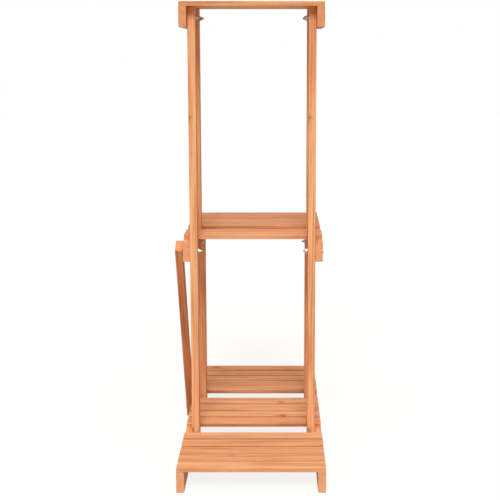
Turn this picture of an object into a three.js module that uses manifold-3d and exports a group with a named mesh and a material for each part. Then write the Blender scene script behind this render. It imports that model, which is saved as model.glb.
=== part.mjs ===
// Plant ladder stand: three stepped shelves of slats on rails, bolted between upright legs, with one diagonal brace.
// Millimetres, +Z up. X runs across the stand, Y runs along its long base away from the near end.
import * as THREE from "three";
import { mergeVertices } from "three/addons/utils/BufferGeometryUtils.js";
import Module from "manifold-3d";

const wasm = await Module();
wasm.setup();

// Sections of the planed boards.
const railThickness = 20;
const railHeight = 54;
const legThickness = 20;
const legDepth = 45;
const slatThickness = 12;
const slatWidth = 43;
const braceThickness = 19;
const braceWidth = 45;
const easedEdge = 1.6; // radius planed along the long edges
const endChamfer = 0.8; // sanded corner round the sawn ends
const joinGap = 0.3; // clear space where two pieces meet

// Width of the frame, and the heights at which the shelf rails hang.
const frameWidth = 375; // over the outer faces of the rails
const slatSetback = 0.5; // each slat end behind the rail's outer face
const midRailBottom = 536;
const topRailBottom = 1154;
const upperLegRise = 8; // foot of an upper rear leg above the bottom edge of the mid rails

// Gaps between neighbouring slats, front to back. They were nailed down by eye, so the gaps differ.
const baseFrontGaps = [3.5, 3.5, 11.5, 7.5];
const baseMiddleGaps = [13, 11, 15];
const baseRearGaps = [3, 6, 7, 12];
const midFrontGaps = [2.5];
const midRearGaps = [3, 3, 8, 13];
const topGaps = [6, 7, 7, 7];

// Clear space along Y between a leg and the slats before and behind it.
const baseClearBeforeFrontLeg = 10;
const baseClearBehindFrontLeg = 17;
const baseClearBeforeRearLeg = 13.5;
const baseClearBehindRearLeg = 14.5;
const midClearBehindFrontLeg = 1.5;
const midClearBeforeUpperLeg = 4.5;
const midClearBehindUpperLeg = 7.5;
const midRailSetback = 7; // near end of the mid rails behind the front legs' faces
const topOverhang = 27; // near end of the top shelf before the front legs' faces

// Bolts, each with its washer and hexagon nut.
const boltDiameter = 6;
const boltHoleDiameter = 7;
const headDiameter = 12;
const headHeight = 2.5;
const headEdge = 0.8; // chamfer round the head
const socketAcrossFlats = 4;
const socketDepth = 1.8;
const washerDiameter = 17;
const washerThickness = 1.5;
const nutAcrossFlats = 10;
const nutThickness = 5;
const tipLength = 5.5; // thread standing out of the nut
const tipChamfer = 0.8;
const braceEndBeyondBolt = 18;

const roundSides = 12; // sides of a bolt, a washer and a drilled hole
const cutOverrun = 2; // how far a cutting solid runs past the faces it cuts

// ---- Layout along Y, worked out from the near end ----

function groupLength(gaps) {
  return (gaps.length + 1) * slatWidth + gaps.reduce((sum, gap) => sum + gap, 0);
}

const frontLegStart = groupLength(baseFrontGaps) + baseClearBeforeFrontLeg;
const frontLegEnd = frontLegStart + legDepth;
const baseMiddleStart = frontLegEnd + baseClearBehindFrontLeg;
const rearLegStart = baseMiddleStart + groupLength(baseMiddleGaps) + baseClearBeforeRearLeg;
const baseRearStart = rearLegStart + legDepth + baseClearBehindRearLeg;
const baseLength = baseRearStart + groupLength(baseRearGaps);

const midFrontStart = frontLegEnd + midClearBehindFrontLeg;
const upperLegStart = midFrontStart + groupLength(midFrontGaps) + midClearBeforeUpperLeg;
const midRearStart = upperLegStart + legDepth + midClearBehindUpperLeg;
const midRailStart = frontLegStart + midRailSetback;
const midRailEnd = midRearStart + groupLength(midRearGaps);

const topStart = frontLegStart - topOverhang;
const topEnd = topStart + groupLength(topGaps);

const frontLegY = frontLegStart + legDepth / 2;
const upperLegY = upperLegStart + legDepth / 2;
const rearLegY = rearLegStart + legDepth / 2;

// ---- Layout across X, worked out from the middle of the frame ----

const railX = (frameWidth - railThickness) / 2;
const legX = frameWidth / 2 - railThickness - joinGap - legThickness / 2;
const braceX = frameWidth / 2 + joinGap + braceThickness / 2;
const slatLength = frameWidth - 2 * slatSetback;

// The brace, its joints and the bolt heads stand out on the left, so the middle of the whole stand lies off the frame's.
const reachLeft = frameWidth / 2 + joinGap + braceThickness + joinGap + headHeight;
const reachRight = frameWidth / 2 + joinGap + headHeight;
const middleOfAll = (reachRight - reachLeft) / 2;

// ---- Materials ----

const wood = new THREE.MeshStandardMaterial({ color: 0xd8915f, roughness: 0.55, metalness: 0 });
const steel = new THREE.MeshStandardMaterial({ color: 0x8c8a86, roughness: 0.4, metalness: 1 });

// ---- Solids ----

function toSolid(geometry) {
  const plain = geometry.clone();
  plain.deleteAttribute("normal");
  plain.deleteAttribute("uv");
  const merged = mergeVertices(plain, 1e-4);
  const triVerts = new Uint32Array(merged.index.array);
  const vertProperties = new Float32Array(merged.attributes.position.array);
  return new wasm.Manifold(new wasm.Mesh({ numProp: 3, vertProperties, triVerts }));
}

function toGeometry(solid) {
  const mesh = solid.getMesh();
  const geometry = new THREE.BufferGeometry();
  geometry.setAttribute("position", new THREE.BufferAttribute(new Float32Array(mesh.vertProperties), 3));
  geometry.setIndex(new THREE.BufferAttribute(new Uint32Array(mesh.triVerts), 1));
  geometry.computeVertexNormals();
  return geometry;
}

// Outline of a board's section, centred, with its corners eased.
function easedSection(width, height) {
  const x = width / 2 - easedEdge;
  const y = height / 2 - easedEdge;
  const outline = new THREE.Shape();
  outline.absarc(x, y, easedEdge, 0, Math.PI / 2);
  outline.absarc(-x, y, easedEdge, Math.PI / 2, Math.PI);
  outline.absarc(-x, -y, easedEdge, Math.PI, 1.5 * Math.PI);
  outline.absarc(x, -y, easedEdge, 1.5 * Math.PI, 2 * Math.PI);
  outline.closePath();
  return outline;
}

// A board centred on its own origin, its length along local Z, with its sawn ends sanded.
function planedBoard(sectionX, sectionY, length) {
  const geometry = new THREE.ExtrudeGeometry(easedSection(sectionX, sectionY), {
    depth: length - 2 * endChamfer,
    bevelEnabled: true,
    bevelThickness: endChamfer,
    bevelSize: endChamfer,
    bevelOffset: -endChamfer,
    bevelSegments: 1,
    curveSegments: 1,
  });
  return geometry.translate(0, 0, endChamfer - length / 2);
}

// Boards by the way they lie in the stand, each centred on its own origin.
function boardAlongX(length, depth, height) {
  return planedBoard(height, depth, length).rotateY(Math.PI / 2);
}

function boardAlongY(thickness, length, height) {
  return planedBoard(thickness, height, length).rotateX(-Math.PI / 2);
}

function boardAlongZ(thickness, depth, length) {
  return planedBoard(thickness, depth, length);
}

// The board with a bolt hole bored across it along X at each [y, z], measured from the board's middle.
function bored(geometry, thickness, places) {
  let solid = toSolid(geometry);
  for (const [y, z] of places) {
    const drill = new THREE.CylinderGeometry(
      boltHoleDiameter / 2,
      boltHoleDiameter / 2,
      thickness + 2 * cutOverrun,
      roundSides,
    );
    drill.rotateZ(Math.PI / 2).translate(0, y, z);
    solid = solid.subtract(toSolid(drill));
  }
  return toGeometry(solid);
}

function hexagonPrism(acrossFlats, length) {
  const cornerRadius = acrossFlats / Math.sqrt(3);
  return new THREE.CylinderGeometry(cornerRadius, cornerRadius, length, 6);
}

// A bolt along local +Y: the head's underside is at 0, and the washer bears at the grip length.
function boltGeometry(grip) {
  const shank = boltDiameter / 2;
  const head = headDiameter / 2;
  const washerEnd = grip + washerThickness;
  const tipEnd = washerEnd + nutThickness + tipLength;
  const profile = [
    [0, -headHeight],
    [head - headEdge, -headHeight],
    [head, headEdge - headHeight],
    [head, 0],
    [shank, 0],
    [shank, grip],
    [washerDiameter / 2, grip],
    [washerDiameter / 2, washerEnd],
    [shank, washerEnd],
    [shank, tipEnd - tipChamfer],
    [shank - tipChamfer, tipEnd],
    [0, tipEnd],
  ].map(([radius, y]) => new THREE.Vector2(radius, y));
  const nut = hexagonPrism(nutAcrossFlats, nutThickness).translate(0, washerEnd + nutThickness / 2, 0);
  const socket = hexagonPrism(socketAcrossFlats, 2 * socketDepth).translate(0, -headHeight, 0);
  const turned = toSolid(new THREE.LatheGeometry(profile, roundSides));
  return toGeometry(turned.add(toSolid(nut)).subtract(toSolid(socket)));
}

// ---- The stand ----

const stand = new THREE.Group();
stand.position.set(-middleOfAll, -baseLength / 2, 0);

function addPiece(name, geometry, material, x, y, z) {
  const piece = new THREE.Mesh(geometry, material);
  piece.name = name;
  piece.position.set(x, y, z);
  stand.add(piece);
  return piece;
}

const sides = [
  { name: "left", sign: -1 },
  { name: "right", sign: 1 },
];

const legRows = {
  front: { y: frontLegY, bottom: 0, top: topRailBottom + railHeight },
  upper_rear: { y: upperLegY, bottom: midRailBottom + upperLegRise, top: topRailBottom + railHeight },
  lower_rear: { y: rearLegY, bottom: 0, top: midRailBottom + railHeight },
};

const shelves = {
  base: { start: 0, end: baseLength, railBottom: 0, legs: ["front", "lower_rear"] },
  mid: { start: midRailStart, end: midRailEnd, railBottom: midRailBottom, legs: ["front", "upper_rear", "lower_rear"] },
  top: { start: topStart, end: topEnd, railBottom: topRailBottom, legs: ["front", "upper_rear"] },
};

function boltHeight(shelf) {
  return shelf.railBottom + railHeight / 2;
}

// Rails on edge, one at each side of every shelf.
function addRails(shelfName) {
  const shelf = shelves[shelfName];
  const middleY = (shelf.start + shelf.end) / 2;
  const places = shelf.legs.map((leg) => [legRows[leg].y - middleY, 0]);
  const rail = boardAlongY(railThickness, shelf.end - shelf.start, railHeight);
  const geometry = bored(rail, railThickness, places);
  for (const side of sides)
    addPiece(`${shelfName}_rail_${side.name}`, geometry, wood, side.sign * railX, middleY, boltHeight(shelf));
}

// Upright legs inside the rails, one at each side of every row.
function addLegs(rowName) {
  const row = legRows[rowName];
  const middleZ = (row.bottom + row.top) / 2;
  const joined = Object.values(shelves).filter((shelf) => shelf.legs.includes(rowName));
  const places = joined.map((shelf) => [0, boltHeight(shelf) - middleZ]);
  const leg = boardAlongZ(legThickness, legDepth, row.top - row.bottom);
  const geometry = bored(leg, legThickness, places);
  for (const side of sides)
    addPiece(`${rowName}_leg_${side.name}`, geometry, wood, side.sign * legX, row.y, middleZ);
}

// Slats across both rails, laid from a start along Y with the given gaps.
function addSlats(groupName, start, gaps, railBottom) {
  const geometry = boardAlongX(slatLength, slatWidth, slatThickness);
  const z = railBottom + railHeight + joinGap + slatThickness / 2;
  let y = start + slatWidth / 2;
  for (let i = 0; i <= gaps.length; i += 1) {
    addPiece(`${groupName}_${i + 1}`, geometry, wood, 0, y, z);
    y += slatWidth + (gaps[i] ?? 0);
  }
}

// The brace leans from the front leg's mid bolt down to the lower rear leg's base bolt, outside the left rails.
const braceTop = { y: frontLegY, z: boltHeight(shelves.mid) };
const braceFoot = { y: rearLegY, z: boltHeight(shelves.base) };

function addBrace() {
  const run = braceFoot.y - braceTop.y;
  const drop = braceTop.z - braceFoot.z;
  const span = Math.hypot(run, drop);
  const board = boardAlongZ(braceThickness, braceWidth, span + 2 * braceEndBeyondBolt);
  const geometry = bored(board, braceThickness, [
    [0, span / 2],
    [0, -span / 2],
  ]);
  const middleY = (braceTop.y + braceFoot.y) / 2;
  const middleZ = (braceTop.z + braceFoot.z) / 2;
  const brace = addPiece("diagonal_brace", geometry, wood, -braceX, middleY, middleZ);
  brace.rotation.x = Math.atan2(run, drop);
}

function passesBrace(shelfName, legName, side) {
  const atTop = shelfName === "mid" && legName === "front";
  const atFoot = shelfName === "base" && legName === "lower_rear";
  return side.name === "left" && (atTop || atFoot);
}

// One bolt through every crossing of a rail and a leg, and through the brace where it lies on them.
function addBolts(shelfName) {
  const shelf = shelves[shelfName];
  for (const legName of shelf.legs)
    for (const side of sides) {
      const braceGrip = passesBrace(shelfName, legName, side) ? braceThickness + joinGap : 0;
      const headFace = frameWidth / 2 + braceGrip + joinGap;
      const grip = headFace - (legX - legThickness / 2) + joinGap;
      const name = `bolt_${shelfName}_${legName}_${side.name}`;
      const z = boltHeight(shelf);
      const bolt = addPiece(name, boltGeometry(grip), steel, side.sign * headFace, legRows[legName].y, z);
      bolt.rotation.z = (side.sign * Math.PI) / 2;
    }
}

for (const shelfName of Object.keys(shelves)) addRails(shelfName);
for (const rowName of Object.keys(legRows)) addLegs(rowName);
addSlats("base_slat_front", 0, baseFrontGaps, 0);
addSlats("base_slat_middle", baseMiddleStart, baseMiddleGaps, 0);
addSlats("base_slat_rear", baseRearStart, baseRearGaps, 0);
addSlats("mid_slat_front", midFrontStart, midFrontGaps, midRailBottom);
addSlats("mid_slat_rear", midRearStart, midRearGaps, midRailBottom);
addSlats("top_slat", topStart, topGaps, topRailBottom);
addBrace();
for (const shelfName of Object.keys(shelves)) addBolts(shelfName);

export default stand;
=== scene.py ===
import math
import random

import bmesh
import bpy
from mathutils import Matrix, Vector


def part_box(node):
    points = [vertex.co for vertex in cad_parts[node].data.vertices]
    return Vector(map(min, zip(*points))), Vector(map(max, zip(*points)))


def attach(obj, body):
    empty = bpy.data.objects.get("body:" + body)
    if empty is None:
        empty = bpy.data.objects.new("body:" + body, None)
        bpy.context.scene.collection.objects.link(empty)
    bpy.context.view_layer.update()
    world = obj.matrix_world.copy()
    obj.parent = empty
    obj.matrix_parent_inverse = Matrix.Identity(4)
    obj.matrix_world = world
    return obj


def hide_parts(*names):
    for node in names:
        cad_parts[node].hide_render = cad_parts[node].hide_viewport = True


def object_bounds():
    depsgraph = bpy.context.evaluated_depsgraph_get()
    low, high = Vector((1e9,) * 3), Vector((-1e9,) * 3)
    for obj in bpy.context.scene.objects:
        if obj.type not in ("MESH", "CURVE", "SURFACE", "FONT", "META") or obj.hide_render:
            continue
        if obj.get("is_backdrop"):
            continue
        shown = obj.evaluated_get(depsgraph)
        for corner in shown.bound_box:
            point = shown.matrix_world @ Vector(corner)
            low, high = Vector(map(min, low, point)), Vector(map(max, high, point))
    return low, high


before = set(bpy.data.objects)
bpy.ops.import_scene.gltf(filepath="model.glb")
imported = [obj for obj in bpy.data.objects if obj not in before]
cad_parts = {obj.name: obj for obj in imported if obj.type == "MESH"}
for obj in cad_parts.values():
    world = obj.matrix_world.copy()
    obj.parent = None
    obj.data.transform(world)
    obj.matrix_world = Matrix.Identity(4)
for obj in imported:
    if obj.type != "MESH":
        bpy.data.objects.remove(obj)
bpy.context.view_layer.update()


# ---- Base rails ----
# Two planed fir boards that stand on edge on the floor and carry every slat of the base shelf.
# Each is sawn square, has its long edges eased with a plane and its ends sanded,
# and is stained before it is bolted. A board that is less thick than thin_board is a slat.
body = "root"
thin_board = 0.015
eased_radius = 0.0018
thin_eased_radius = 0.0008
sanded_end = 0.0007
eased_steps = 4
sanded_steps = 2
bore_diameter = 0.007
bore_sides = 24
pale_stain = (0.94, 0.47, 0.235, 1)
dark_stain = (0.58, 0.19, 0.060, 1)
knot_colour = (0.27, 0.085, 0.026, 1)
end_grain_colour = (0.76, 0.335, 0.155, 1)
# Rubbed long edges: worn paler, and partly a painted highlight.
rubbed_highlight_colour = (0.97, 0.56, 0.32, 1)
# Painted shade: the broad faces of thick boards and the narrow faces of slats are tinted darker.
broad_face_shade_tint = (1.0, 0.87, 0.58, 1)
narrow_face_shade_tint = (0.92, 0.85, 0.77, 1)
# Painted shade: darkens the sides of slats that face a narrow gap.
gap_shade_tint = (0.52, 0.40, 0.32, 1)
base_rail_knots = [((0.19, 0.012, 0.0), 0.0042)]
saw_chance = random.Random(41)

# How a board's own frame lies in the stand: X along the grain, Y across its broad face, Z through it.
grain_across = Matrix.Identity(3)
grain_along = Matrix(((0, 0, 1), (1, 0, 0), (0, 1, 0)))
grain_upright = Matrix(((0, 0, 1), (0, -1, 0), (1, 0, 0)))


def add_node(tree, kind, values=None, **settings):
    """A shader or geometry node with its settings, and with each input given a value or a link."""
    made = tree.nodes.new(kind)
    for name, value in settings.items():
        setattr(made, name, value)
    for socket, value in (values or {}).items():
        if isinstance(value, bpy.types.NodeSocket):
            tree.links.new(value, made.inputs[socket])
        else:
            made.inputs[socket].default_value = value
    return made


def maths(tree, operation, first, second=0.0, third=0.0):
    made = add_node(tree, "ShaderNodeMath", {0: first, 1: second, 2: third}, operation=operation)
    return made.outputs[0]


def stretched(tree, place, scale):
    made = add_node(tree, "ShaderNodeVectorMath", {0: place, 1: scale}, operation="MULTIPLY")
    return made.outputs[0]


def cloud(tree, place, detail):
    """Noise from 0 to 1 over a place that is already stretched to the size of its marks."""
    values = {"Vector": place, "Scale": 1.0, "Detail": detail, "Roughness": 0.5}
    return add_node(tree, "ShaderNodeTexNoise", values).outputs[0]


def ramp(tree, value, low, high, at_low, at_high):
    values = {0: value, 1: low, 2: high, 3: at_low, 4: at_high}
    made = add_node(tree, "ShaderNodeMapRange", values, interpolation_type="SMOOTHSTEP")
    return made.outputs[0]


def blend_colours(tree, share, first, second, mode="MIX"):
    values = {0: share, 6: first, 7: second}
    return add_node(tree, "ShaderNodeMix", values, data_type="RGBA", blend_type=mode).outputs[2]


def new_group(name, inputs, outputs):
    """An empty shader node group with named sockets, its input node and its output node."""
    tree = bpy.data.node_groups.new(name, "ShaderNodeTree")
    for socket, kind in inputs.items():
        tree.interface.new_socket(socket, in_out="INPUT", socket_type=kind)
    for socket, kind in outputs.items():
        tree.interface.new_socket(socket, in_out="OUTPUT", socket_type=kind)
    return tree, tree.nodes.new("NodeGroupInput"), tree.nodes.new("NodeGroupOutput")


# Each stretch is along the grain and twice across it. Pairs say where a change starts and where it ends.
sway_stretch = (1.6, 9.0, 9.0)
sway_width = 0.013
summer_growth = (0.35, 0.86)
winter_stop = (0.90, 1.0)
poorest_year = 0.4
fibre_stretch = (16.0, 900.0, 900.0)
uptake_stretch = (4.6, 95.0, 95.0)
late_share = 0.62
fibre_share = 0.5
uptake_share = 2.1
uptake_offset = -0.82
relief_share = 0.5


def make_sawn_fir():
    """Growth rings round the heart of the log, with pale early wood, dark late wood and fine fibres."""
    inputs = {
        "Log Place": "NodeSocketVector",
        "Swerve": "NodeSocketFloat",
        "Ring Width": "NodeSocketFloat",
        "Early Wood": "NodeSocketColor",
        "Late Wood": "NodeSocketColor",
    }
    outputs = {
        "Colour": "NodeSocketColor",
        "Late Share": "NodeSocketFloat",
        "Relief": "NodeSocketFloat",
    }
    tree, given, result = new_group("sawn_fir", inputs, outputs)
    place = given.outputs["Log Place"]
    apart = add_node(tree, "ShaderNodeSeparateXYZ", {0: place})
    across = maths(tree, "MULTIPLY", apart.outputs[1], apart.outputs[1])
    through = maths(tree, "MULTIPLY", apart.outputs[2], apart.outputs[2])
    radius = maths(tree, "SQRT", maths(tree, "ADD", across, through))
    sway = cloud(tree, stretched(tree, place, sway_stretch), detail=2.0)
    radius = maths(tree, "MULTIPLY_ADD", sway, sway_width, radius)
    radius = maths(tree, "ADD", radius, given.outputs["Swerve"])
    year = maths(tree, "DIVIDE", radius, given.outputs["Ring Width"])
    season = maths(tree, "FRACT", year)
    summer = ramp(tree, season, *summer_growth, 0.0, 1.0)
    winter = ramp(tree, season, *winter_stop, 1.0, 0.0)
    late = maths(tree, "MULTIPLY", summer, winter)
    count = maths(tree, "FLOOR", year)
    weather = add_node(tree, "ShaderNodeTexWhiteNoise", {1: count}, noise_dimensions="1D").outputs[0]
    good_year = maths(tree, "MULTIPLY_ADD", weather, 1 - poorest_year, poorest_year)
    late = maths(tree, "MULTIPLY", late, good_year)
    fibre = cloud(tree, stretched(tree, place, fibre_stretch), detail=2.0)
    uptake = cloud(tree, stretched(tree, place, uptake_stretch), detail=3.0)
    fibres = maths(tree, "MULTIPLY_ADD", fibre, fibre_share, -fibre_share / 2)
    share = maths(tree, "MULTIPLY_ADD", late, late_share, fibres)
    share = maths(tree, "ADD", share, maths(tree, "MULTIPLY_ADD", uptake, uptake_share, uptake_offset))
    share = add_node(tree, "ShaderNodeClamp", {0: share}).outputs[0]
    colour = blend_colours(tree, share, given.outputs["Early Wood"], given.outputs["Late Wood"])
    low_relief = maths(tree, "MULTIPLY", fibre, relief_share)
    relief = maths(tree, "MULTIPLY_ADD", late, relief_share, low_relief)
    tree.links.new(colour, result.inputs["Colour"])
    tree.links.new(share, result.inputs["Late Share"])
    tree.links.new(relief, result.inputs["Relief"])
    return tree


# The edges of a knot are given as multiples of its radius.
ragged_stretch = (260.0, 260.0, 260.0)
raggedness = 0.5
knot_slimness = (0.55, 1.0, 1.0)
knot_ring_pace = 17.0
knot_ring_depth = 0.12
core_edge = (0.7, 1.1)
halo_edge = (0.8, 3.2)
knot_push = 1.6


def make_knot():
    """A small knot: its dark core, its rings, and how far it pushes the grain round it aside."""
    inputs = {"Place": "NodeSocketVector", "Centre": "NodeSocketVector", "Radius": "NodeSocketFloat"}
    outputs = {"Core": "NodeSocketFloat", "Halo": "NodeSocketFloat", "Swerve": "NodeSocketFloat"}
    tree, given, result = new_group("knot", inputs, outputs)
    values = {0: given.outputs["Place"], 1: given.outputs["Centre"]}
    offset = add_node(tree, "ShaderNodeVectorMath", values, operation="SUBTRACT").outputs[0]
    ragged = cloud(tree, stretched(tree, given.outputs["Place"], ragged_stretch), detail=1.0)
    slim = stretched(tree, offset, knot_slimness)
    distance = add_node(tree, "ShaderNodeVectorMath", {0: slim}, operation="LENGTH").outputs[1]
    reach = maths(tree, "DIVIDE", distance, given.outputs["Radius"])
    reach = maths(tree, "ADD", reach, maths(tree, "MULTIPLY_ADD", ragged, raggedness, -raggedness / 2))
    wave = maths(tree, "SINE", maths(tree, "MULTIPLY", reach, knot_ring_pace))
    rings = maths(tree, "MULTIPLY_ADD", wave, knot_ring_depth, 1 - knot_ring_depth)
    core = maths(tree, "MULTIPLY", ramp(tree, reach, *core_edge, 1.0, 0.0), rings)
    halo = ramp(tree, reach, *halo_edge, 1.0, 0.0)
    push = maths(tree, "MULTIPLY", given.outputs["Radius"], knot_push)
    swerve = maths(tree, "MULTIPLY", halo, push)
    tree.links.new(core, result.inputs["Core"])
    tree.links.new(halo, result.inputs["Halo"])
    tree.links.new(swerve, result.inputs["Swerve"])
    return tree


# The rubbed edge, worn paler and with a painted highlight, is given in shares of its own width. The
# others say how far in from the face they reach.
rubbed_stretch = (28.0, 240.0, 240.0)
rubbed_patches = 1.6
rubbed_least = 0.2
rubbed_highlight_edge = (0.35, 1.0)
sawn_end_edge = (0.0003, 0.0011)
broad_face_edge = (0.0003, 0.0015)


def make_board_faces():
    """Where a board's rubbed long edges, its sawn ends and its broad faces are.
    The sawn ends took more stain; the rubbed edges are worn paler with a painted highlight, and the faces
    carry painted shade."""
    inputs = {
        "Place": "NodeSocketVector",
        "Half Size": "NodeSocketVector",
        "Edge Width": "NodeSocketFloat",
    }
    outputs = {
        "Rubbed": "NodeSocketFloat",
        "Sawn End": "NodeSocketFloat",
        "Broad Face": "NodeSocketFloat",
    }
    tree, given, result = new_group("board_faces", inputs, outputs)
    folded = add_node(tree, "ShaderNodeVectorMath", {0: given.outputs["Place"]}, operation="ABSOLUTE")
    values = {0: given.outputs["Half Size"], 1: folded.outputs[0]}
    inset = add_node(tree, "ShaderNodeVectorMath", values, operation="SUBTRACT")
    apart = add_node(tree, "ShaderNodeSeparateXYZ", {0: inset.outputs[0]})
    across = maths(tree, "MULTIPLY", apart.outputs[1], apart.outputs[1])
    through = maths(tree, "MULTIPLY", apart.outputs[2], apart.outputs[2])
    distance = maths(tree, "SQRT", maths(tree, "ADD", across, through))
    patchy = cloud(tree, stretched(tree, given.outputs["Place"], rubbed_stretch), detail=3.0)
    wear = maths(tree, "MULTIPLY_ADD", patchy, rubbed_patches, rubbed_least)
    width = maths(tree, "MULTIPLY", given.outputs["Edge Width"], wear)
    rubbed = ramp(tree, maths(tree, "DIVIDE", distance, width), *rubbed_highlight_edge, 1.0, 0.0)
    sawn_end = ramp(tree, apart.outputs[0], *sawn_end_edge, 1.0, 0.0)
    broad_face = ramp(tree, apart.outputs[2], *broad_face_edge, 1.0, 0.0)
    tree.links.new(rubbed, result.inputs["Rubbed"])
    tree.links.new(sawn_end, result.inputs["Sawn End"])
    tree.links.new(broad_face, result.inputs["Broad Face"])
    return tree


sawn_fir = make_sawn_fir()
knot_group = make_knot()
board_faces = make_board_faces()


# Where a board may lie in its log, how far its stain may stray, and how much of each mark shows.
heart_distances = (0.045, 0.11)
heart_angles = (0.45, 1.25)
log_reach = 4.0
ring_widths = (0.0032, 0.0055)
tone_spread = 0.06
pale_weights = (0.5, 1.0, 1.3, 0)
dark_weights = (1.0, 1.2, 1.3, 0)
rubbed_highlight_width = 0.0028
rubbed_highlight_share = 0.20
sawn_end_share = 0.60
halo_share = 0.42
core_share = 0.66
early_roughness = 0.66
late_roughness = 0.52
grain_strength = 0.35
grain_height = 0.0003
satin_specular = 0.22

# Painted shade in a narrow gap: how far inside a slat's side, and inside its faces, it starts and ends.
gap_side_edge = (0.0007, 0.0001)
gap_face_edge = (0.0008, 0.0001)
gap_middle = 0.005


def toned(colour, tone, weights):
    """A colour made paler or deeper, with a weight for each of its channels."""
    return [min(1.0, channel * (1 + tone * weight)) for channel, weight in zip(colour, weights)]


def painted_gap_shade(tree, place, size, shut_sides):
    """1 on the sides of a slat that a narrow gap shuts in, where painted shade darkens them."""
    apart = add_node(tree, "ShaderNodeSeparateXYZ", {0: place})
    shut = ramp(tree, apart.outputs[1], -gap_middle, gap_middle, *shut_sides)
    sideways = maths(tree, "ABSOLUTE", apart.outputs[1])
    height = maths(tree, "ABSOLUTE", apart.outputs[2])
    side_start, side_end = [size.y / 2 - inset for inset in gap_side_edge]
    face_start, face_end = [size.z / 2 - inset for inset in gap_face_edge]
    on_side = ramp(tree, sideways, side_start, side_end, 0.0, 1.0)
    below_face = ramp(tree, height, face_start, face_end, 1.0, 0.0)
    return maths(tree, "MULTIPLY", maths(tree, "MULTIPLY", shut, on_side), below_face)


def stained_fir(name, size, turn, middle, knots, depth, shut_sides):
    """Stained satin fir for one board, cut from its own place in the log.
    Its knots are given in the board's frame, and depth darkens its stain as painted shade, most where a
    shelf above shades it.
    Shut sides, front and rear, are 1 where a narrow gap parts it from the next slat and painted shade
    darkens its side."""
    finish = bpy.data.materials.new(f"stained_fir_{name}")
    finish.use_nodes = True
    tree = finish.node_tree
    shader = tree.nodes["Principled BSDF"]
    into_board = turn.transposed()
    spot = add_node(tree, "ShaderNodeTexCoord").outputs["Object"]
    values = {"Vector": spot, "Location": -(into_board @ middle), "Rotation": into_board.to_euler()}
    place = add_node(tree, "ShaderNodeMapping", values).outputs[0]
    heart_distance = saw_chance.uniform(*heart_distances)
    heart_angle = saw_chance.uniform(*heart_angles) * saw_chance.choice((-1, 1))
    along = saw_chance.uniform(-log_reach, log_reach)
    heart = (along, heart_distance * math.sin(heart_angle), heart_distance * math.cos(heart_angle))
    log_place = add_node(tree, "ShaderNodeVectorMath", {0: place, 1: heart}, operation="ADD").outputs[0]
    swerve = 0.0
    marks = []
    for centre, radius in knots:
        values = {"Place": place, "Centre": centre, "Radius": radius}
        mark = add_node(tree, "ShaderNodeGroup", values, node_tree=knot_group)
        swerve = maths(tree, "ADD", mark.outputs["Swerve"], swerve)
        marks.append(mark)
    # Tone strays at random; depth takes painted shade off it.
    tone = saw_chance.uniform(-tone_spread, tone_spread) - depth
    values = {
        "Log Place": log_place,
        "Swerve": swerve,
        "Ring Width": saw_chance.uniform(*ring_widths),
        "Early Wood": toned(pale_stain, tone, pale_weights),
        "Late Wood": toned(dark_stain, tone, dark_weights),
    }
    wood = add_node(tree, "ShaderNodeGroup", values, node_tree=sawn_fir)
    values = {"Place": place, "Half Size": size / 2, "Edge Width": rubbed_highlight_width}
    faces = add_node(tree, "ShaderNodeGroup", values, node_tree=board_faces)
    colour = wood.outputs["Colour"]
    # Painted shade: thick boards darken on their broad faces, slats on their narrow faces.
    if size.z > thin_board:
        colour = blend_colours(tree, faces.outputs["Broad Face"], colour, broad_face_shade_tint, "MULTIPLY")
    else:
        narrow = maths(tree, "SUBTRACT", 1.0, faces.outputs["Broad Face"])
        colour = blend_colours(tree, narrow, colour, narrow_face_shade_tint, "MULTIPLY")
        # Painted shade on the sides that face a narrow gap.
        gap_shade = painted_gap_shade(tree, place, size, shut_sides)
        colour = blend_colours(tree, gap_shade, colour, gap_shade_tint, "MULTIPLY")
    # Rubbed edges: wear and a painted highlight.
    rub_highlight = maths(tree, "MULTIPLY", faces.outputs["Rubbed"], rubbed_highlight_share)
    colour = blend_colours(tree, rub_highlight, colour, rubbed_highlight_colour)
    drink = maths(tree, "MULTIPLY", faces.outputs["Sawn End"], sawn_end_share)
    colour = blend_colours(tree, drink, colour, end_grain_colour)
    for mark in marks:
        halo = maths(tree, "MULTIPLY", mark.outputs["Halo"], halo_share)
        colour = blend_colours(tree, halo, colour, dark_stain)
        core = maths(tree, "MULTIPLY", mark.outputs["Core"], core_share)
        colour = blend_colours(tree, core, colour, knot_colour)
    tree.links.new(colour, shader.inputs["Base Color"])
    satin = ramp(tree, wood.outputs["Late Share"], 0.0, 1.0, early_roughness, late_roughness)
    tree.links.new(satin, shader.inputs["Roughness"])
    values = {"Strength": grain_strength, "Distance": grain_height, "Height": wood.outputs["Relief"]}
    bump = add_node(tree, "ShaderNodeBump", values)
    tree.links.new(bump.outputs[0], shader.inputs["Normal"])
    shader.inputs["Specular IOR Level"].default_value = satin_specular
    return finish


def planed_mesh(name, size, turn, middle):
    """A closed board: a sawn block with its four long edges eased round and both ends sanded."""
    work = bmesh.new()
    bmesh.ops.create_cube(work, size=1.0)
    bmesh.ops.scale(work, vec=size, verts=work.verts)
    long_edges = [e for e in work.edges if abs(e.verts[0].co.x - e.verts[1].co.x) > size.x / 2]
    ease = thin_eased_radius if size.z < thin_board else eased_radius
    easing = {"profile": 0.5, "affect": "EDGES"}
    bmesh.ops.bevel(work, geom=long_edges, offset=ease, segments=eased_steps, **easing)
    end_edges = [e for e in work.edges if e.verts[0].co.x * e.verts[1].co.x > 0]
    bmesh.ops.bevel(work, geom=end_edges, offset=sanded_end, segments=sanded_steps, **easing)
    work.transform(Matrix.Translation(middle) @ turn.to_4x4())
    bmesh.ops.recalc_face_normals(work, faces=work.faces)
    for face in work.faces:
        face.smooth = True
    mesh = bpy.data.meshes.new(name)
    work.to_mesh(mesh)
    work.free()
    return mesh


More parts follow.
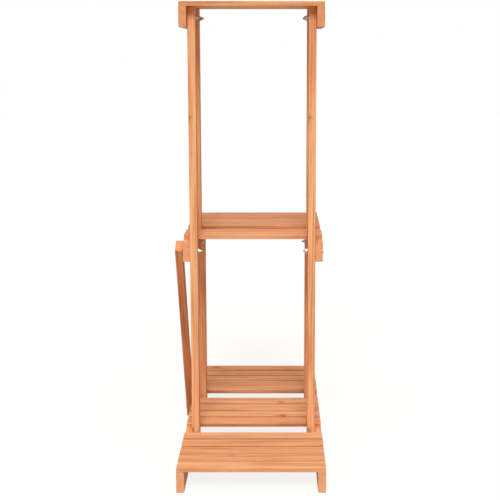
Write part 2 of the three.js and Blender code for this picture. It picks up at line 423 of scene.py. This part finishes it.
def put_in_scene(name, mesh):
    piece = bpy.data.objects.new(name, mesh)
    bpy.context.scene.collection.objects.link(piece)
    return piece


def pegs(places, along, radius, half_length, sides):
    """Closed pegs that cut holes, each centred on its place and lying along one axis."""
    work = bmesh.new()
    turn = Vector((0, 0, 1)).rotation_difference(Vector(along)).to_matrix().to_4x4()
    for place in places:
        bmesh.ops.create_cone(
            work, cap_ends=True, segments=sides, radius1=radius, radius2=radius,
            depth=2 * half_length, matrix=Matrix.Translation(place) @ turn,
        )
    mesh = bpy.data.meshes.new("pegs")
    work.to_mesh(mesh)
    work.free()
    return put_in_scene("pegs", mesh)


def bake_modifiers(piece):
    """The piece's own mesh becomes what its modifiers make of it, and the modifiers go."""
    bpy.context.view_layer.update()
    seen = piece.evaluated_get(bpy.context.evaluated_depsgraph_get())
    finished = bpy.data.meshes.new_from_object(seen)
    finished.name = piece.name
    piece.modifiers.clear()
    piece.data = finished


def drill(piece, cutter):
    cut = piece.modifiers.new("holes", "BOOLEAN")
    cut.operation = "DIFFERENCE"
    cut.solver = "EXACT"
    cut.object = cutter
    bake_modifiers(piece)
    bpy.data.objects.remove(cutter)


def bolt_places(low, high):
    """Where the bolts cross a board that fills this box, each as a point on the board's middle plane."""
    middle = (low + high) / 2
    found = []
    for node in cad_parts:
        if node.startswith("bolt_"):
            bolt_low, bolt_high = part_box(node)
            spot = (bolt_low + bolt_high) / 2
            inside = low.y < spot.y < high.y and low.z < spot.z < high.z
            if inside and bolt_low.x < middle.x < bolt_high.x:
                found.append(Vector((middle.x, spot.y, spot.z)))
    return found


def fit_board(piece, node, size, turn, middle, knots, depth, shut_sides=(0.0, 0.0)):
    """Crisp flat faces for a board, its own stain, and its place in the stand."""
    crisp = piece.modifiers.new("flat_faces", "WEIGHTED_NORMAL")
    crisp.weight = 100
    bake_modifiers(piece)
    piece.data.materials.clear()
    piece.data.materials.append(stained_fir(piece.name, size, turn, middle, knots, depth, shut_sides))
    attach(piece, body)
    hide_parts(node)


def side_board(node, turn, knots=(), depth=0.0):
    """A rail or a leg: the board that fills its node's box, bored wherever a bolt crosses it."""
    low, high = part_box(node)
    middle = (low + high) / 2
    size = Vector([abs(x) for x in turn.transposed() @ (high - low)])
    piece = put_in_scene(f"{node}_board", planed_mesh(node, size, turn, middle))
    bores = pegs(bolt_places(low, high), (1, 0, 0), bore_diameter / 2, high.x - low.x, bore_sides)
    drill(piece, bores)
    fit_board(piece, node, size, turn, middle, knots, depth)


for side in ("left", "right"):
    side_board(f"base_rail_{side}", grain_along, base_rail_knots)


# ---- Front legs and rear legs ----
# Upright fir boards, bolted flat against the inside of the rails. Two run from the floor to the top
# shelf, two from the floor to the mid shelf and two from the mid rails to the top shelf.
# A few small knots show.
leg_knots = {
    "front_leg_left": [((0.318, 0.0225, -0.0067), 0.0030), ((-0.534, 0.0225, -0.0072), 0.0026)],
    "front_leg_right": [((0.318, 0.0225, -0.0061), 0.0027), ((-0.534, 0.0225, -0.0080), 0.0028)],
    "lower_rear_leg_left": [((0.12, -0.0225, 0.004), 0.0045)],
    "upper_rear_leg_right": [((-0.10, 0.006, -0.010), 0.0040)],
}
for row in ("front", "lower_rear", "upper_rear"):
    for side in ("left", "right"):
        node = f"{row}_leg_{side}"
        side_board(node, grain_upright, leg_knots.get(node, ()))


# ---- Mid rails and top rails ----
# Shorter boards of the same section as the base rails, bolted outside the legs with their faces upright.
# Their sawn ends face the viewer under the slats.
# Painted shade: the top rails are stained much darker, for the shade the top slats cast on their ends.
rail_shade_depths = {"mid": 0.08, "top": 0.32}
for shelf, depth in rail_shade_depths.items():
    for side in ("left", "right"):
        side_board(f"{shelf}_rail_{side}", grain_along, depth=depth)


# ---- Diagonal brace ----
# One board on the left of the lower bay, from the mid bolt of the front leg down to the base bolt
# of the rear leg. It lies outside the rails and is held by the same two bolts,
# so that the frame can't fold.
brace_overlap = 0.018
# Painted shade: the brace is stained darker, for the shade on its downward face.
brace_shade_depth = 0.36
brace_knots = [((0.05, -0.008, -0.0095), 0.0045)]


def middle_of(node):
    low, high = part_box(node)
    return (low + high) / 2


def fit_brace():
    node = "diagonal_brace"
    low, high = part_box(node)
    top = middle_of("bolt_mid_front_left")
    foot = middle_of("bolt_base_lower_rear_left")
    top.x = foot.x = (low.x + high.x) / 2
    span = (top - foot).length
    lean = (top - foot).normalized()
    middle = (top + foot) / 2
    sideways = Vector((1, 0, 0))
    turn = Matrix((lean, sideways.cross(lean), sideways)).transposed()
    reach = span + 2 * brace_overlap
    width = (high.z - low.z - reach * lean.z) / abs(lean.y)
    size = Vector((reach, width, high.x - low.x))
    piece = put_in_scene(f"{node}_board", planed_mesh(node, size, turn, middle))
    drill(piece, pegs([top, foot], sideways, bore_diameter / 2, size.z, bore_sides))
    fit_board(piece, node, size, turn, middle, brace_knots, brace_shade_depth)


fit_brace()


# ---- Slats ----
# Thin fir slats laid across both rails in groups, with uneven gaps, and nailed down at each end.
# Each brad is punched a little below the face, so every slat has four small round dimples.
# Where the gap to the next slat is narrow, the slat's side in it is darkened as painted shade.
dimple_radius = 0.00125
dimple_depth = 0.0005
dimple_sides = 16
brad_spread = 0.0115
brad_stray = 0.0022
nail_chance = random.Random(7)
slat_knots = {
    "base_slat_middle_4": [((0.0762, -0.0159, 0.006), 0.0042)],
    "base_slat_middle_2": [((0.0817, -0.0176, 0.006), 0.0060)],
    "base_slat_rear_1": [((0.158, -0.006, 0.006), 0.0045)],
    "base_slat_rear_5": [((-0.135, 0.002, 0.006), 0.0060)],
    "base_slat_front_2": [((-0.05, 0.009, 0.006), 0.0030)],
    "mid_slat_rear_3": [((0.06, 0.0, -0.006), 0.0050)],
    "top_slat_4": [((-0.09, 0.006, 0.006), 0.0045)],
}
# Painted shade: slats are stained darker, most where a shelf above shades them.
shelf_shade_depths = {
    "base_slat_front": 0.10, "base_slat_middle": 0.06, "base_slat_rear": 0.18,
    "mid_slat_front": 0.15, "mid_slat_rear": 0.26, "top_slat": 0.03,
}
rail_middles = [middle_of(f"top_rail_{side}").x for side in ("left", "right")]
brad_heads = []
gap_limit = 0.010
shelf_slack = 0.010
slat_nodes = sorted(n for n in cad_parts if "_slat_" in n)


def find_shut_sides(low, high):
    """For a slat's front and rear side: 1 where a narrow gap parts it from the next slat, else 0."""
    front = rear = 0.0
    for other in slat_nodes:
        other_low, other_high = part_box(other)
        if abs(other_low.z - low.z) < shelf_slack:
            if 0 < low.y - other_high.y < gap_limit:
                front = 1.0
            if 0 < other_low.y - high.y < gap_limit:
                rear = 1.0
    return front, rear


def nail_places(low, high):
    """Two brads over each rail, a little off their marks, on the slat's upper face."""
    middle = (low.y + high.y) / 2
    for rail in rail_middles:
        for spread in (-brad_spread, brad_spread):
            across = rail + nail_chance.uniform(-brad_stray, brad_stray)
            along = middle + spread + nail_chance.uniform(-brad_stray, brad_stray)
            yield Vector((across, along, high.z))


for node in slat_nodes:
    low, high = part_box(node)
    middle = (low + high) / 2
    size = high - low
    piece = put_in_scene(f"{node}_board", planed_mesh(node, size, grain_across, middle))
    nails = list(nail_places(low, high))
    brad_heads += [nail - Vector((0, 0, dimple_depth)) for nail in nails]
    drill(piece, pegs(nails, (0, 0, 1), dimple_radius, dimple_depth, dimple_sides))
    depth = shelf_shade_depths[node.rpartition("_")[0]]
    knots = slat_knots.get(node, ())
    fit_board(piece, node, size, grain_across, middle, knots, depth, find_shut_sides(low, high))


# ---- Brads ----
# 104 headed wire brads hold the slats on the rails. Each head lies at the bottom of its dimple.
# They are drawn steel, gone dull grey, and go down through the slat into the rail.
brad_head_radius = 0.0009
brad_shank_radius = 0.0006
brad_length = 0.030
brad_dome = 0.0002
brad_crown_radius = brad_head_radius * 0.6
brad_crown_height = brad_dome * 0.75
brad_sides = 10
brad_smooth_angle = 40
brad_seed = 3
drawn_steel_colour = (0.34, 0.32, 0.30, 1)
drawn_steel_grime = (0.16, 0.14, 0.125, 1)
drawn_steel_roughness = 0.42

# The marks of any steel here: dull patches, which fade in over a pair of noise values, and drawn lines.
patch_stretch = (420.0, 420.0, 420.0)
patch_edge = (0.38, 0.68)
patch_roughness = 0.16
mark_stretch = (180.0, 2600.0, 2600.0)
mark_roughness = 0.12
mark_strength = 0.2
mark_height = 0.00005


def turned(name, profile, sides):
    """A closed turned solid along local Z.
    Its outline is of (radius, height) and starts and ends on the axis."""
    work = bmesh.new()
    rings = []
    angles = [2 * math.pi * i / sides for i in range(sides)]
    for radius, height in profile:
        if radius == 0:
            rings.append([work.verts.new((0, 0, height))])
        else:
            ring = [(radius * math.cos(a), radius * math.sin(a), height) for a in angles]
            rings.append([work.verts.new(point) for point in ring])
    for lower, upper in zip(rings, rings[1:]):
        for i in range(sides):
            corners = [lower[i % len(lower)], lower[(i + 1) % len(lower)]]
            corners += [upper[(i + 1) % len(upper)], upper[i % len(upper)]]
            work.faces.new(list(dict.fromkeys(corners)))
    bmesh.ops.recalc_face_normals(work, faces=work.faces)
    mesh = bpy.data.meshes.new(name)
    work.to_mesh(mesh)
    work.free()
    return mesh


def steel(name, colour, grime, roughness):
    """Drawn or plated steel: drawn marks, and dull patches with a little grime, over a metal base."""
    finish = bpy.data.materials.new(name)
    finish.use_nodes = True
    tree = finish.node_tree
    shader = tree.nodes["Principled BSDF"]
    spot = add_node(tree, "ShaderNodeTexCoord").outputs["Object"]
    patches = cloud(tree, stretched(tree, spot, patch_stretch), detail=3.0)
    marks = cloud(tree, stretched(tree, spot, mark_stretch), detail=1.0)
    dull = ramp(tree, patches, *patch_edge, 0.0, 1.0)
    colour = blend_colours(tree, dull, colour, grime)
    tree.links.new(colour, shader.inputs["Base Color"])
    marked = maths(tree, "MULTIPLY_ADD", marks, mark_roughness, roughness)
    rough = maths(tree, "MULTIPLY_ADD", dull, patch_roughness, marked)
    tree.links.new(rough, shader.inputs["Roughness"])
    values = {"Strength": mark_strength, "Distance": mark_height, "Height": marks}
    bump = add_node(tree, "ShaderNodeBump", values)
    tree.links.new(bump.outputs[0], shader.inputs["Normal"])
    shader.inputs["Metallic"].default_value = 1.0
    return finish


one_flat = math.pi / 3


def make_setter():
    """Geometry Nodes: a copy of one fastener on every point.
    Each is turned as its point's stored turn says, and spun about its own axis by chance."""
    tree = bpy.data.node_groups.new("set_fasteners", "GeometryNodeTree")
    sockets = {
        "Points": "NodeSocketGeometry",
        "Fastener": "NodeSocketObject",
        "Finish": "NodeSocketMaterial",
        "Size": "NodeSocketFloat",
        "Seed": "NodeSocketInt",
    }
    for socket, kind in sockets.items():
        tree.interface.new_socket(socket, in_out="INPUT", socket_type=kind)
    tree.interface.new_socket("Fasteners", in_out="OUTPUT", socket_type="NodeSocketGeometry")
    given = tree.nodes.new("NodeGroupInput")
    result = tree.nodes.new("NodeGroupOutput")
    stored = add_node(tree, "GeometryNodeInputNamedAttribute", {0: "turn"}, data_type="FLOAT_VECTOR")
    values = {"Max": one_flat, "Seed": given.outputs["Seed"]}
    spin = add_node(tree, "FunctionNodeRandomValue", values, data_type="FLOAT")
    about = add_node(tree, "ShaderNodeCombineXYZ", {2: spin.outputs[1]})
    base_turn = add_node(tree, "FunctionNodeEulerToRotation", {0: stored.outputs[0]})
    spun = add_node(tree, "FunctionNodeEulerToRotation", {0: about.outputs[0]})
    values = {0: base_turn.outputs[0], 1: spun.outputs[0]}
    both = add_node(tree, "FunctionNodeRotateRotation", values, rotation_space="LOCAL")
    shape = add_node(tree, "GeometryNodeObjectInfo", {"Object": given.outputs["Fastener"]})
    values = {
        "Points": given.outputs["Points"],
        "Instance": shape.outputs["Geometry"],
        "Rotation": both.outputs[0],
        "Scale": given.outputs["Size"],
    }
    copies = add_node(tree, "GeometryNodeInstanceOnPoints", values)
    real = add_node(tree, "GeometryNodeRealizeInstances", {0: copies.outputs[0]})
    values = {0: real.outputs[0], 2: given.outputs["Finish"]}
    finished = add_node(tree, "GeometryNodeSetMaterial", values)
    tree.links.new(finished.outputs[0], result.inputs[0])
    return tree


set_fasteners = make_setter()


def fasteners(name, points, turns, shape, finish, seed, smooth_angle):
    """One plain mesh that holds a copy of the shape at every point."""
    mesh = bpy.data.meshes.new(name)
    mesh.from_pydata(points, [], [])
    stored = mesh.attributes.new("turn", "FLOAT_VECTOR", "POINT")
    stored.data.foreach_set("vector", [x for turn in turns for x in turn])
    piece = put_in_scene(name, mesh)
    template = put_in_scene(f"{name}_shape", shape)
    maker = piece.modifiers.new("set_fasteners", "NODES")
    maker.node_group = set_fasteners
    values = {"Fastener": template, "Finish": finish, "Size": 1.0, "Seed": seed}
    for item in set_fasteners.interface.items_tree:
        if item.in_out == "INPUT" and item.name in values:
            maker[item.identifier] = values[item.name]
    bake_modifiers(piece)
    bpy.data.objects.remove(template)
    piece.data.shade_smooth()
    piece.data.set_sharp_from_angle(angle=math.radians(smooth_angle))
    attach(piece, body)
    return piece


brad_profile = [
    (0, -brad_length),
    (brad_shank_radius, -brad_length + 2 * brad_shank_radius),
    (brad_shank_radius, -brad_head_radius),
    (brad_head_radius, -brad_dome),
    (brad_head_radius, 0),
    (brad_crown_radius, brad_crown_height),
    (0, brad_dome),
]
brad = turned("brad", brad_profile, brad_sides)
brad_steel = steel("dull_drawn_steel", drawn_steel_colour, drawn_steel_grime, drawn_steel_roughness)
brad_turns = [(0, 0, 0)] * len(brad_heads)
fasteners("slat_brads", brad_heads, brad_turns, brad, brad_steel, brad_seed, brad_smooth_angle)


# ---- Bolts, washers and nuts ----
# 14 M6 bolts pass from outside through rail and leg, two of them through the brace as well.
# Each has a low head with a hexagon socket, a flat washer under its nut,
# and thread that stands out of the nut.
bolt_radius = 0.003
head_radius = 0.006
head_height = 0.0025
head_easing = head_radius * 0.13
head_outline = ((1.6, 0), (0.4, 0.45), (0, 1.4))
socket_flats = 0.004
socket_depth = 0.0018
socket_easing = head_easing * 0.3
washer_radius = 0.0085
washer_thickness = 0.0015
washer_bore = 0.0033
washer_easing = washer_thickness * 0.18
nut_flats = 0.010
nut_height = 0.005
nut_seat = nut_flats / 2 * 0.95
nut_bore = 0.00309
corner_slope = 30
thread_pitch = 0.001
thread_depth = 0.00045
thread_outline = ((thread_depth, 0.35 * thread_pitch), (0, 0.85 * thread_pitch), (0, thread_pitch))
thread_run_in = 4 * thread_pitch
thread_run_out = 1.5 * thread_pitch
tip_radius = bolt_radius * 0.6
tip_length = 0.4 * thread_pitch
tip_out = 0.0055
beyond_grip = washer_thickness + nut_height + tip_out
turn_sides = 36
bolt_smooth_angle = 32
nut_smooth_angle = 25
bolt_seed = 5
washer_seed = 8
nut_seed = 13
zinc_colour = (0.66, 0.66, 0.64, 1)
zinc_grime = (0.36, 0.35, 0.33, 1)
zinc_roughness = 0.26
bolt_nodes = sorted(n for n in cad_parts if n.startswith("bolt_"))


def hexagon_reach(flats, angle):
    """From the axis of a hexagon to its side, at an angle."""
    off_middle = (angle + one_flat / 2) % one_flat - one_flat / 2
    return flats / 2 / math.cos(off_middle)


def ring_of(work, reach, height):
    """A ring of points round local Z.
    Reach and height are numbers, or functions that say how they change with the angle."""
    angles = [2 * math.pi * i / turn_sides for i in range(turn_sides)]
    points = []
    for angle in angles:
        radius = reach(angle) if callable(reach) else reach
        level = height(angle) if callable(height) else height
        points.append(work.verts.new((radius * math.cos(angle), radius * math.sin(angle), level)))
    return points


def skin(name, rings, work, loop):
    """Quads from ring to ring, closed back on the first ring for a loop, or capped flat at both ends."""
    pairs = list(zip(rings, rings[1:] + ([rings[0]] if loop else [])))
    for lower, upper in pairs:
        for i in range(turn_sides):
            j = (i + 1) % turn_sides
            work.faces.new((lower[i], lower[j], upper[j], upper[i]))
    if not loop:
        work.faces.new(rings[0])
        work.faces.new(rings[-1])
    bmesh.ops.recalc_face_normals(work, faces=work.faces)
    mesh = bpy.data.meshes.new(name)
    work.to_mesh(mesh)
    work.free()
    return mesh


def bolt_mesh(name, grip):
    """Head at 0 and below, shank up through the grip, then the thread as far as the tip."""
    work = bmesh.new()

    def socket(angle):
        return hexagon_reach(socket_flats, angle)

    def socket_mouth(angle):
        return socket(angle) + socket_easing

    rings = [
        ring_of(work, socket, socket_depth - head_height),
        ring_of(work, socket, -head_height + socket_easing),
        ring_of(work, socket_mouth, -head_height),
    ]
    for inward, up in head_outline:
        reach = head_radius - head_easing * inward
        rings.append(ring_of(work, reach, -head_height + head_easing * up))
    rings.append(ring_of(work, head_radius, 0))
    rings.append(ring_of(work, bolt_radius, 0))
    level = grip - thread_run_in
    rings.append(ring_of(work, bolt_radius, level))
    tip = grip + beyond_grip
    while level < tip - thread_run_out:
        for cut, along in thread_outline:
            rings.append(ring_of(work, bolt_radius - cut, level + along))
        level += thread_pitch
    rings.append(ring_of(work, bolt_radius - thread_depth, tip - tip_length))
    rings.append(ring_of(work, tip_radius, tip))
    return skin(name, rings, work, loop=False)


def washer_mesh(name):
    work = bmesh.new()
    rings = [
        ring_of(work, washer_bore, 0),
        ring_of(work, washer_radius - washer_easing, 0),
        ring_of(work, washer_radius, washer_easing),
        ring_of(work, washer_radius, washer_thickness - washer_easing),
        ring_of(work, washer_radius - washer_easing, washer_thickness),
        ring_of(work, washer_bore, washer_thickness),
    ]
    return skin(name, rings, work, loop=True)


def nut_mesh(name):
    """A hexagon nut whose corners are turned off on both faces."""
    work = bmesh.new()
    slope = math.tan(math.radians(corner_slope))

    def side(angle):
        return hexagon_reach(nut_flats, angle)

    def lower_edge(angle):
        return (side(angle) - nut_seat) * slope

    def upper_edge(angle):
        return nut_height - lower_edge(angle)

    rings = [
        ring_of(work, nut_bore, thread_depth),
        ring_of(work, nut_bore + thread_depth, 0),
        ring_of(work, nut_seat, 0),
        ring_of(work, side, lower_edge),
        ring_of(work, side, upper_edge),
        ring_of(work, nut_seat, nut_height),
        ring_of(work, nut_bore + thread_depth, nut_height),
        ring_of(work, nut_bore, nut_height - thread_depth),
    ]
    return skin(name, rings, work, loop=True)


def fit_bolts():
    """The bolts by the length they grip, then a washer and a nut for each.
    All of them point to the middle of the stand."""
    zinc = steel("zinc_plated_steel", zinc_colour, zinc_grime, zinc_roughness)
    washers, nuts, turns = [], [], []
    by_grip = {}
    for node in bolt_nodes:
        low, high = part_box(node)
        inward = 1 if low.x < 0 and high.x < 0 else -1
        head_face = (low.x if inward > 0 else high.x) + inward * head_height
        tip = high.x if inward > 0 else low.x
        grip = round(abs(tip - head_face) - beyond_grip, 5)
        spot = (low + high) / 2
        turn = (0, inward * math.pi / 2, 0)
        by_grip.setdefault(grip, []).append((node, (head_face, spot.y, spot.z), turn))
        washers.append((head_face + inward * grip, spot.y, spot.z))
        nuts.append((head_face + inward * (grip + washer_thickness), spot.y, spot.z))
        turns.append(turn)
    for label, grip in zip(("short", "long"), sorted(by_grip)):
        nodes, points, ways = zip(*by_grip[grip])
        name = f"{label}_bolts"
        shape = bolt_mesh(name, grip)
        piece = fasteners(name, points, ways, shape, zinc, bolt_seed, bolt_smooth_angle)
        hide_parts(*nodes)
    washer = washer_mesh("washer")
    nut = nut_mesh("nut")
    fasteners("bolt_washers", washers, turns, washer, zinc, washer_seed, bolt_smooth_angle)
    fasteners("hexagon_nuts", nuts, turns, nut, zinc, nut_seed, nut_smooth_angle)


fit_bolts()


# ---- Floor, light and camera ----
# A pale floor that keeps the stand's shadow and runs out into a white backdrop, under two soft lights
# from the front, one of them higher. The camera stands a little right of the middle and a little
# below the top shelf. It is tilted down, with a small shift.
floor_reach = 14.0
floor_colour = (0.55, 0.505, 0.44, 1)
floor_glow = 1.25
floor_glow_share = 0.68
sky_light = (0.375, 0.278, 0.182)
lamp_colour = (0.965, 1.08, 1.19)
lamps = {
    "front_light": {"level": 0.70, "height": 45, "softness": 22},
    "high_light": {"level": 0.25, "height": 70, "softness": 40},
}
camera_place = (0.0723, -2.8749, 1.1008)
camera_pitch = 8.392
camera_lens = 74.505
camera_shift = (-0.0524, -0.098)


def seen_directly(tree):
    """1 for what the camera sees and for what shines back from gloss or shows through.
    0 for light that falls on the stand."""
    path = add_node(tree, "ShaderNodeLightPath")
    seen = maths(tree, "MAXIMUM", path.outputs["Is Camera Ray"], path.outputs["Is Glossy Ray"])
    return maths(tree, "MAXIMUM", seen, path.outputs["Is Transmission Ray"])


def lay_floor():
    mesh = bpy.data.meshes.new("floor")
    corners = [(-1, -1), (1, -1), (1, 1), (-1, 1)]
    points = [(x * floor_reach, y * floor_reach, 0) for x, y in corners]
    mesh.from_pydata(points, [], [(0, 1, 2, 3)])
    floor = put_in_scene("floor", mesh)
    finish = bpy.data.materials.new("pale_floor")
    finish.use_nodes = True
    tree = finish.node_tree
    tree.nodes.clear()
    paint = add_node(tree, "ShaderNodeBsdfDiffuse", {"Color": floor_colour})
    glow = add_node(tree, "ShaderNodeEmission", {"Strength": floor_glow})
    share = maths(tree, "MULTIPLY", seen_directly(tree), floor_glow_share)
    both = add_node(tree, "ShaderNodeMixShader", {0: share, 1: paint.outputs[0], 2: glow.outputs[0]})
    add_node(tree, "ShaderNodeOutputMaterial", {0: both.outputs[0]})
    mesh.materials.append(finish)
    floor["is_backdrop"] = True


def light_the_room():
    room = bpy.data.worlds.new("white_room")
    bpy.context.scene.world = room
    room.use_nodes = True
    tree = room.node_tree
    tree.nodes.clear()
    seen = seen_directly(tree)
    colour = blend_colours(tree, seen, (*sky_light, 1), (1, 1, 1, 1))
    sky = add_node(tree, "ShaderNodeBackground", {"Color": colour, "Strength": 1.0})
    add_node(tree, "ShaderNodeOutputWorld", {0: sky.outputs[0]})
    for name, values in lamps.items():
        lamp = bpy.data.lights.new(name, "SUN")
        lamp.energy = values["level"] * math.pi
        lamp.color = lamp_colour
        lamp.angle = math.radians(values["softness"])
        light = bpy.data.objects.new(name, lamp)
        light.rotation_euler = (math.radians(90 - values["height"]), 0, 0)
        bpy.context.scene.collection.objects.link(light)


def set_up_camera():
    lens = bpy.data.cameras.new("camera")
    lens.sensor_width = 36
    lens.lens = camera_lens
    lens.shift_x, lens.shift_y = camera_shift
    camera = bpy.data.objects.new("camera", lens)
    camera.location = camera_place
    camera.rotation_euler = (math.radians(90 - camera_pitch), 0, 0)
    bpy.context.scene.collection.objects.link(camera)
    bpy.context.scene.camera = camera
    bpy.context.scene.view_settings.view_transform = "Standard"


lay_floor()
light_the_room()
set_up_camera()


# ---- Sizes ----
# The box of what is shown, without the floor.
low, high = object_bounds()
